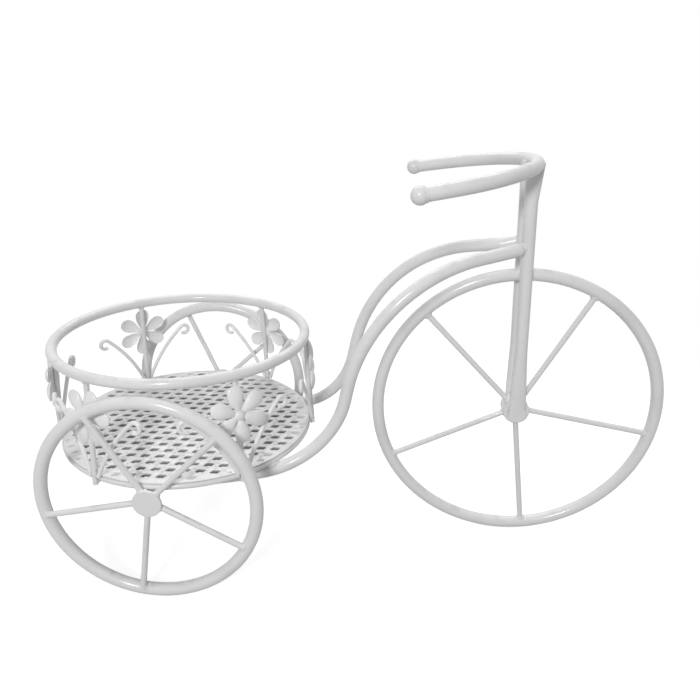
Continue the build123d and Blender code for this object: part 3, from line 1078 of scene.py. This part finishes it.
@dataclass
class WovenFloor(Assembly):
    """The basket's floor, pressed to look like woven strips with slanted gaps between them.

    Each lip is a loop round a gap, with its spread, its height and the underside's depth. Each dent loop has
    a spread and a height. Heights are above the plain sheet.
    """

    border: float = 5.0 * MM
    length: float = 8.0 * MM
    width: float = 5.6 * MM
    slant: float = 3.0 * MM
    pitch_along: float = 14.0 * MM
    pitch_across: float = 11.4 * MM
    shift: float = 0.35
    corner: float = 1.3 * MM
    lips: tuple[Triple, ...] = (
        (0.0, -0.4 * MM, 4.0 * MM), (0.45 * MM, -0.12 * MM, 4.0 * MM), (1.1 * MM, 0.05 * MM, 1.6 * MM))
    dent: tuple[Span, ...] = ((1.1 * MM, 0.0), (0.3 * MM, -0.15 * MM), (-0.7 * MM, -0.85 * MM))
    dent_sizes: tuple[float, ...] = (1.0, 0.85, 0.7, 0.55, 0.4)
    dent_edge: float = 1.3 * MM
    dot_edge: float = 4.5 * MM
    rims: tuple[Span, ...] = ((0.0, -0.4 * MM), (0.6 * MM, 0.0))
    rim_points: int = 240
    over: float = 0.5 * MM
    under: float = -0.3 * MM
    plain: float = 0.12 * MM
    step: float = 0.3 * MM
    sheet: float = 1.6 * MM
    merge: float = 1e-6

    def __post_init__(self) -> None:
        """Measure the CAD floor and start with no points."""
        low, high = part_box("basket_floor")
        self.radius = (high.y - low.y) / 2
        self.middle = Vector(((low.x + high.x) / 2, (low.y + high.y) / 2, high.z))
        self.points: list[Vector] = []
        self.depths: list[float] = []
        self.edges: list[tuple[int, int]] = []
        self.gap_of: dict[int, int] = {}

    def loop(self, x: float, y: float, spread: float) -> list[Vector]:
        """Return a rounded parallelogram about a gap's middle.

        Args:
            x: The gap's middle, forward of the basket's.
            y: The gap's middle, left of the basket's.
            spread: How far the loop lies outside the gap's edge.

        Returns:
            The loop's points in the plane.
        """
        side = math.hypot(self.slant, self.width)
        inner_y = self.width / 2 - self.corner
        inner_x = self.length / 2 - self.corner * side / self.width
        lean = self.slant * inner_y / self.width
        down, up = Vector((0, -1)), Vector((0, 1))
        right = Vector((self.width, -self.slant)) / side
        corners = (
            (-inner_x - lean, -inner_y, -right, down), (inner_x - lean, -inner_y, down, right),
            (inner_x + lean, inner_y, right, up), (-inner_x + lean, inner_y, up, -right))
        ring = []
        for centre_x, centre_y, first, last in corners:
            for way in (first, (first + last).normalized(), last):
                ring.append(Vector((x + centre_x, y + centre_y)) + way * (self.corner + spread))
        return ring

    def ring(self, loop: Sequence[Vector], height: float, depth: float) -> None:
        """Add a closed loop of points, with the edges that join them.

        Args:
            loop: The points in the plane.
            height: The loop's height above the plain sheet.
            depth: How far the underside lies below the sheet's top there.
        """
        first, count = len(self.points), len(loop)
        self.points += [Vector((point.x, point.y, height)) for point in loop]
        self.depths += [depth] * count
        self.edges += [(first + i, first + (i + 1) % count) for i in range(count)]

    def dot(self, x: float, y: float, height: float) -> None:
        """Add a single point, if it lies well inside the sheet.

        Args:
            x: The point's place, forward of the basket's middle.
            y: The point's place, left of the basket's middle.
            height: The point's height above the plain sheet.
        """
        if math.hypot(x, y) < self.radius - self.dot_edge:
            self.points.append(Vector((x, y, height)))
            self.depths.append(self.sheet)

    def press(self, x: float, y: float) -> None:
        """Press a half-closed gap near the rim: a shallow dent, as large as the sheet has room for.

        Args:
            x: The dent's middle, forward of the basket's.
            y: The dent's middle, left of the basket's.
        """
        middle = Vector((x, y))
        for size in self.dent_sizes:
            loops = [
                [middle + (point - middle) * size for point in self.loop(x, y, spread)]
                for spread, _ in self.dent]
            if max(point.length for point in loops[0]) < self.radius - self.dent_edge:
                for loop, (_, height) in zip(loops, self.dent):
                    self.ring(loop, height, self.sheet)
                return

    def cross(self, x: float, y: float, raised: bool) -> None:
        """Shape the crossing at a gap's upper right, where one strip passes over the other.

        Args:
            x: The gap's middle, forward of the basket's.
            y: The gap's middle, left of the basket's.
            raised: Whether the strip that runs across is the upper one.
        """
        strip = (self.pitch_across - self.width) / 2
        strand = (self.pitch_along - self.length) / 2
        drift = (self.shift * self.pitch_along - self.slant) / (2 * strip)
        level = y + self.pitch_across / 2
        start = x + self.pitch_along / 2 + self.slant / 2 + drift * strip
        if math.hypot(start, level) > self.radius - 2 * self.border:
            return
        reach = strand if raised else strip
        for along in (-0.5, 0, 0.5):
            for sign in (-1, 1):
                for out, height in ((reach - self.step, self.over), (reach + self.step, self.under)):
                    if raised:
                        offset = along * strip
                        self.dot(start + drift * offset + sign * out, level + offset, height)
                    else:
                        self.dot(start + drift * sign * out + along * strand, level + sign * out, height)
        self.dot(start, level, self.over)
        self.dot(x + self.slant / 2, level, self.plain)
        self.dot(x + self.pitch_along / 2, y, self.plain)

    def cell(self, row: int, column: int) -> None:
        """Add one gap, or a dent where it would cut the border, and the crossing beside it.

        Args:
            row: The gap's row, counted to the left.
            column: The gap's place in its row, counted forward.
        """
        x = (column + self.shift * row % 1) * self.pitch_along
        y = row * self.pitch_across
        half_x, half_y, lean = self.length / 2, self.width / 2, self.slant / 2
        reach = max(math.hypot(x + a * half_x + b * lean, y + b * half_y) for a in (-1, 1) for b in (-1, 1))
        if reach < self.radius - self.border:
            first = len(self.points)
            for spread, height, depth in self.lips:
                self.ring(self.loop(x, y, spread), height, depth)
            around = (len(self.points) - first) // len(self.lips)
            self.gap_of.update({index: first for index in range(first, first + around)})
        elif math.hypot(x, y) < self.radius - self.dent_edge:
            self.press(x, y)
        self.cross(x, y, (column - math.floor(self.shift * row) + row) % 2 == 1)

    def plan(self) -> None:
        """Lay out the rim and every cell."""
        turns = [math.tau * i / self.rim_points for i in range(self.rim_points)]
        spokes = [Vector((math.cos(turn), math.sin(turn))) for turn in turns]
        for inset, height in self.rims:
            self.ring([spoke * (self.radius - inset) for spoke in spokes], height, self.sheet)
        rows, columns = math.floor(self.radius / self.pitch_across), math.ceil(self.radius / self.pitch_along)
        for row in range(-rows, rows + 1):
            for column in range(-columns, columns + 1):
                self.cell(row, column)

    def opening(self, origins: Sequence[Sequence[int]]) -> bool:
        """Return whether a face lies in a gap, with each of its corners on that gap's own edge."""
        gaps = {self.gap_of.get(origin[0]) if origin else None for origin in origins}
        return len(gaps) == 1 and None not in gaps

    def build(self) -> None:
        """Triangulate the top, copy it below and close the walls between."""
        self.plan()
        flat = [Vector((point.x, point.y)) for point in self.points]
        places, _, faces, origins, _, _ = delaunay_2d_cdt(flat, self.edges, [], 0, self.merge, True)
        draft = Draft("basket_floor_woven", Body.ROOT, Slot.BASKET)
        top, bottom = [], []
        for place, origin in zip(places, origins):
            height = max(self.points[index].z for index in origin) if origin else 0.0
            depth = max(self.depths[index] for index in origin) if origin else self.sheet
            top.append(draft.mesh.verts.new(self.middle + Vector((place.x, place.y, height - self.over))))
            bottom.append(draft.mesh.verts.new(self.middle + Vector((place.x, place.y, -depth))))
        for face in faces:
            if not self.opening([origins[index] for index in face]):
                draft.mesh.faces.new([top[index] for index in face])
                draft.mesh.faces.new([bottom[index] for index in reversed(face)])
        below = dict(zip(top, bottom))
        rims = [edge for edge in draft.mesh.edges if len(edge.link_faces) == 1 and edge.verts[0] in below]
        for first, last in (edge.verts for edge in rims):
            draft.mesh.faces.new((first, last, below[last], below[first]))
        loose = [corner for corner in draft.mesh.verts if not corner.link_faces]
        bmesh.ops.delete(draft.mesh, geom=loose, context="VERTS")
        log.info("woven floor with %d gaps", len(set(self.gap_of.values())))
        draft.keep(self.finishes, self.finishes.pierced, ["basket_floor"])


@dataclass
class Basket(Assembly):
    """The basket's flowers and floor, and the welds of its uprights and tendrils."""

    degrees: tuple[float, ...] = (8, 61.5, 130, 196.5, 246, 308)
    twists: tuple[float, ...] = (0, -10, 3, 0, -22, 6)
    head_start: float = 190.0 * MM
    weld_out: float = 0.1 * MM
    ring_height: float = 115.29 * MM
    ring_out: float = 128.0 * MM
    foot_oval: Span = (3.4 * MM, 2.7 * MM)
    tendril_above: float = 4.0 * MM
    tendril_aside: float = 2.5 * MM
    tendril_run: float = 9.0 * MM
    tendril_early: float = 0.15
    tendril_spread: float = 0.4 * MM
    tendril_lift: float = 1.5 * MM
    tendril_sink: float = 0.72 * MM
    tendril_points: int = 10
    bead: Bead = Bead(1.15 * MM)
    tendril_bead: Bead = Bead(1.0 * MM, 0.4, 420.0)

    def __post_init__(self) -> None:
        """Start the mesh of the basket's welds."""
        self.draft = Draft("basket_welds", Body.ROOT, Slot.BASKET)

    def weld(self, upright: Upright) -> None:
        """Weld one upright to both rings, and its tendrils to it.

        Args:
            upright: The upright.
        """
        head = round_rod(upright.at(self.head_start), upright.head, upright.rod + self.weld_out)
        self.bead.lay(self.draft, self.surfaces.collar(head, "basket_top_ring"), upright.rise)
        touch = Vector((REAR_AXLE_X, 0, self.ring_height)) + upright.out * self.ring_out
        ring = patch(touch, upright.out, upright.tangent, *self.foot_oval)
        self.bead.lay(self.draft, ring, upright.out)
        for side in (-1, 1):
            for face in (-1, 1):
                line = self.seam(upright, side, face)
                self.tendril_bead.lay(self.draft, line, upright.normal, closed=False)

    def seam(self, upright: Upright, side: int, face: int) -> list[Vector]:
        """Return the line along which a tendril is welded to its upright.

        Args:
            upright: The upright.
            side: The tendril's side of the upright, -1 or 1.
            face: The side of the tendril that the bead runs on, -1 inside and 1 outside.

        Returns:
            The line's points.
        """
        line = []
        for i in range(self.tendril_points):
            share = i / (self.tendril_points - 1)
            height = self.ring_height + self.tendril_above + self.tendril_run * (share - self.tendril_early)
            away = upright.tangent * side * (self.tendril_aside + self.tendril_spread * share)
            lift = upright.normal * (face * (self.tendril_lift - self.tendril_sink * share))
            line.append(upright.at(height) + away + lift)
        return line

    def build(self) -> None:
        """Draw the flowers and the floor, and weld the uprights and tendrils."""
        for number, (degrees, twist) in enumerate(zip(self.degrees, self.twists), 1):
            upright = Upright(number, degrees, twist)
            Flower(self.surfaces, self.finishes, upright).build()
            self.weld(upright)
        self.draft.keep(self.finishes, self.finishes.weld)
        WovenFloor(self.surfaces, self.finishes).build()


# Studio


@dataclass
class Floor:
    """A pale studio floor that fades into the white backdrop and keeps the planter's shadow."""

    reach: float = 6.0
    fade: Span = (0.42, 0.8)
    tone: float = 0.35
    fleck_share: float = 1.02
    glow: float = 0.83
    paper: Mottle = Mottle(260.0, 3.0)

    def material(self) -> bpy.types.Material:
        """Make the floor's material.

        Returns:
            The material.
        """
        made, graph = new_material("studio_floor")
        reach = graph.node("VectorMath", {0: graph.place()}, "Value", operation="LENGTH")
        colour = graph.tint(self.paper.on(graph), grey(self.tone), grey(self.tone * self.fleck_share))
        near = graph.node("BsdfDiffuse", {"Color": colour})
        glow = graph.node("Emission", {"Color": grey(1.0), "Strength": self.glow})
        lit = graph.node("AddShader", {0: near, 1: glow})
        white = graph.node("Emission", {"Color": grey(1.0), "Strength": 1.0})
        seen = graph.node("MixShader", {0: reach.ramp(*self.fade), 1: lit, 2: white})
        surface = graph.node("MixShader", {0: graph.seen(), 1: near, 2: seen})
        graph.node("OutputMaterial", {"Surface": surface})
        return made

    def build(self) -> None:
        """Lay the floor."""
        draft = bmesh.new()
        corners = ((-1, -1), (1, -1), (1, 1), (-1, 1))
        draft.faces.new([draft.verts.new((x * self.reach, y * self.reach, 0)) for x, y in corners])
        data = bpy.data.meshes.new("studio_floor")
        draft.to_mesh(data)
        draft.free()
        data.materials.append(self.material())
        floor = show("studio_floor", data)


@dataclass(frozen=True)
class Lamp:
    """A soft round lamp."""

    name: str
    place: Triple
    size: float
    power: float
    aim: Triple = (0.0, 0.0, 0.15)

    def build(self) -> None:
        """Hang the lamp and point it."""
        data = bpy.data.lights.new(self.name, "AREA")
        data.shape = "DISK"
        data.size = self.size
        data.energy = self.power
        lamp = show(self.name, data)
        lamp.location = self.place
        lamp.rotation_euler = (Vector(self.aim) - Vector(self.place)).to_track_quat("-Z", "Y").to_euler()


@dataclass
class Studio:
    """The world, the lamps and the camera, whose angles are in radians."""

    ambient: float = 0.41
    lamps: tuple[Lamp, ...] = (
        Lamp("key_lamp", (-0.24, -1.5, 0.98), 0.3, 12.4), Lamp("back_lamp", (-0.3, 1.6, 2.4), 2.4, 38.0))
    camera_place: Triple = (0.03450, -0.60784, 0.44486)
    yaw: float = 0.0666
    pitch: float = 0.3777
    roll: float = -0.0084
    lens: float = 33.44
    sensor: float = 36.0
    near_clip: float = 0.01

    def world(self) -> None:
        """Make an even grey world that the camera and glossy surfaces see as white."""
        world = bpy.data.worlds.new("studio_world")
        world.use_nodes = True
        bpy.context.scene.world = world
        graph = Graph(world.node_tree)
        strength = graph.seen() * (1.0 - self.ambient) + self.ambient
        light = graph.node("Background", {"Color": grey(1.0), "Strength": strength})
        graph.node("OutputWorld", {"Surface": light})

    def camera(self) -> None:
        """Place the camera as the photograph was taken."""
        yaw, pitch, roll = self.yaw, self.pitch, self.roll
        level = math.cos(pitch)
        forward = Vector((-math.sin(yaw) * level, math.cos(yaw) * level, -math.sin(pitch)))
        right = Vector((math.cos(yaw), math.sin(yaw), 0))
        down = forward.cross(right)
        turned_right = right * math.cos(roll) + down * math.sin(roll)
        turned_down = down * math.cos(roll) - right * math.sin(roll)
        data = bpy.data.cameras.new("photo_camera")
        data.lens = self.lens
        data.sensor_width = self.sensor
        data.clip_start = self.near_clip
        camera = show("photo_camera", data)
        axes = Matrix((turned_right, -turned_down, -forward)).transposed()
        camera.matrix_world = Matrix.Translation(self.camera_place) @ axes.to_4x4()
        bpy.context.scene.camera = camera

    def build(self) -> None:
        """Set up the whole studio."""
        self.world()
        for lamp in self.lamps:
            lamp.build()
        Floor().build()
        self.camera()
        bpy.context.scene.view_settings.view_transform = "Standard"


def main() -> None:
    logging.basicConfig(level=logging.INFO, format="%(message)s")
    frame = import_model()
    finishes = Finishes()
    finishes.dress_nodes(frame)
    tools = (Surfaces(frame["nodes"]), finishes)
    centre = Vector((FRONT_AXLE_X, 0, FRONT_AXLE_HEIGHT))
    FrontWheel(
        *tools, Body.FRONT, "front", centre, rim_radius=0.140, first_degrees=-82, seam_place=2.42
    ).build()
    for body, prefix, side, degrees in (
        (Body.REAR_RIGHT, "rear_right", -1, -98),
        (Body.REAR_LEFT, "rear_left", 1, -102),
    ):
        centre = Vector((REAR_AXLE_X, side * REAR_WHEEL_ASIDE, REAR_AXLE_HEIGHT))
        RearWheel(
            *tools, body, prefix, centre, rim_radius=0.098, first_degrees=degrees, seam_place=0.5, side=side
        ).build()
    for assembly in (Fork, Handlebar, Basket):
        assembly(*tools).build()
    Studio().build()


if __name__ == "__main__":
    main()
